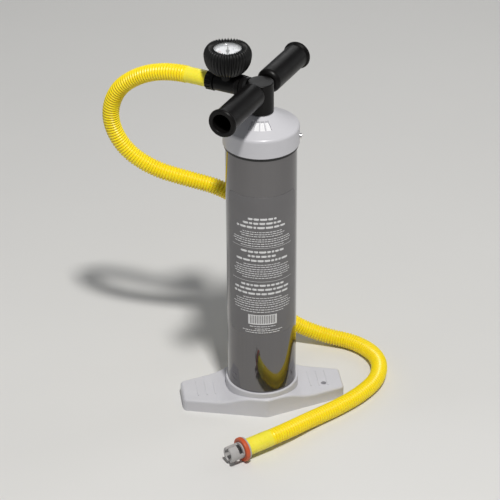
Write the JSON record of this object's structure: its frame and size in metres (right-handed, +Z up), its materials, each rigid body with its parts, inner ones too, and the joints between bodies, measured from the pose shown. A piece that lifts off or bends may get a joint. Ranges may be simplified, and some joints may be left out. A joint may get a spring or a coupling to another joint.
{
  "type": "hand pump",
  "caption": "Upright hand-worked inflation pump with a foot base, two-grip handle, pressure gauge and a corrugated hose that ends in a bayonet nozzle.",
  "frame": {"origin": "centre of the foot base's underside, on the barrel's axis", "axes": "+Z up along the barrel, +X along the wings of the foot base towards the lashing hole, +Y away from the hose nozzle"},
  "size_m": [0.3656, 0.2914, 0.505],
  "materials": {
    "grey_plastic": "satin, light grey",
    "barrel_paint": "glossy dark grey anodising",
    "label_film": "matt dark grey film",
    "screw_steel": "plain",
    "white_acetal": "smooth",
    "filter_felt": "pale felt",
    "soft_ring": "smooth",
    "black_rubber": "matt",
    "shaft_aluminium": "drawn",
    "spring_steel": "bright wire",
    "black_plastic": "satin, fine grain",
    "bright_steel": "polished",
    "brass": "plain",
    "dial_face": "printed scale",
    "needle_paint": "matt",
    "clear_lens": "clear",
    "hose_yellow": "smooth, corrugated",
    "nozzle_grey": "satin",
    "gasket_orange": "smooth"
  },
  "bodies": {
    "pump_body": {"foot_base": "grey_plastic", "base_screws": "screw_steel", "barrel": "barrel_paint", "bottom_plug": "white_acetal", "bottom_plug_ring": "soft_ring", "label": "label_film", "cap_ring": "black_rubber", "top_cap": "grey_plastic", "inlet_filters": "filter_felt", "cap_screws": "screw_steel", "shaft_guide": "white_acetal", "shaft_seal": "soft_ring", "shaft_wiper": "soft_ring"},
    "hose_run": {"hose": "hose_yellow", "hose_cuff_end": "hose_yellow", "nozzle": "nozzle_grey", "nozzle_gasket": "gasket_orange"},
    "handle": {"shaft": "shaft_aluminium", "piston_body": "white_acetal", "piston_plate": "white_acetal", "piston_nut": "white_acetal", "check_spring": "spring_steel", "stroke_bumper": "black_rubber", "handle_hub": "black_plastic", "grip_front": "black_plastic", "grip_rear": "black_plastic", "union_ring": "black_rubber", "union_nut": "black_plastic", "union_seal": "soft_ring", "outlet_tee": "black_plastic", "hose_nut": "black_plastic", "hose_cuff_top": "hose_yellow", "gauge_stem": "brass", "gauge_case": "bright_steel", "gauge_boot": "black_rubber", "gauge_lens": "clear_lens", "gauge_dial": "dial_face", "gauge_movement": "brass", "bourdon_tube": "brass"},
    "piston_ring": {"piston_seal": "soft_ring"},
    "check_valve": {"check_disc": "white_acetal"},
    "pointer": {"gauge_needle": "needle_paint", "gauge_pinion": "brass"},
    "sector": {"gauge_sector": "brass"}
  },
  "joints": [
    {"name": "handle_turn", "type": "hinge", "parent": "pump_body", "child": "hose_run", "pos_m": [0, 0, 0.43], "axis": [0, 0, 1], "range_deg": [-60, 5]},
    {"name": "pump_stroke", "type": "slide", "parent": "hose_run", "child": "handle", "axis": [0, 0, 1], "range_m": [0, 0.323]},
    {"name": "piston_ring_float", "type": "slide", "parent": "handle", "child": "piston_ring", "axis": [0, 0, 1], "range_m": [0, 0.0019]},
    {"name": "check_valve_lift", "type": "slide", "parent": "handle", "child": "check_valve", "axis": [0, 0, 1], "range_m": [0, 0.0025], "stiffness_N_per_m": 60, "springref_m": -0.002, "deforming": ["check_spring"]},
    {"name": "gauge_pointer_turn", "type": "hinge", "parent": "handle", "child": "pointer", "pos_m": [-0.03713, 0.02542, 0.4936], "axis": [0, 0, 1], "range_deg": [-270, 0]},
    {"name": "gauge_sector_turn", "type": "hinge", "parent": "handle", "child": "sector", "pos_m": [-0.04621, 0.03164, 0.485], "axis": [0, 0, 1], "range_deg": [0, 60]}
  ],
  "couplings": [
    {"joint": "gauge_sector_turn", "follows": "gauge_pointer_turn", "ratio": -0.22222}
  ]
}
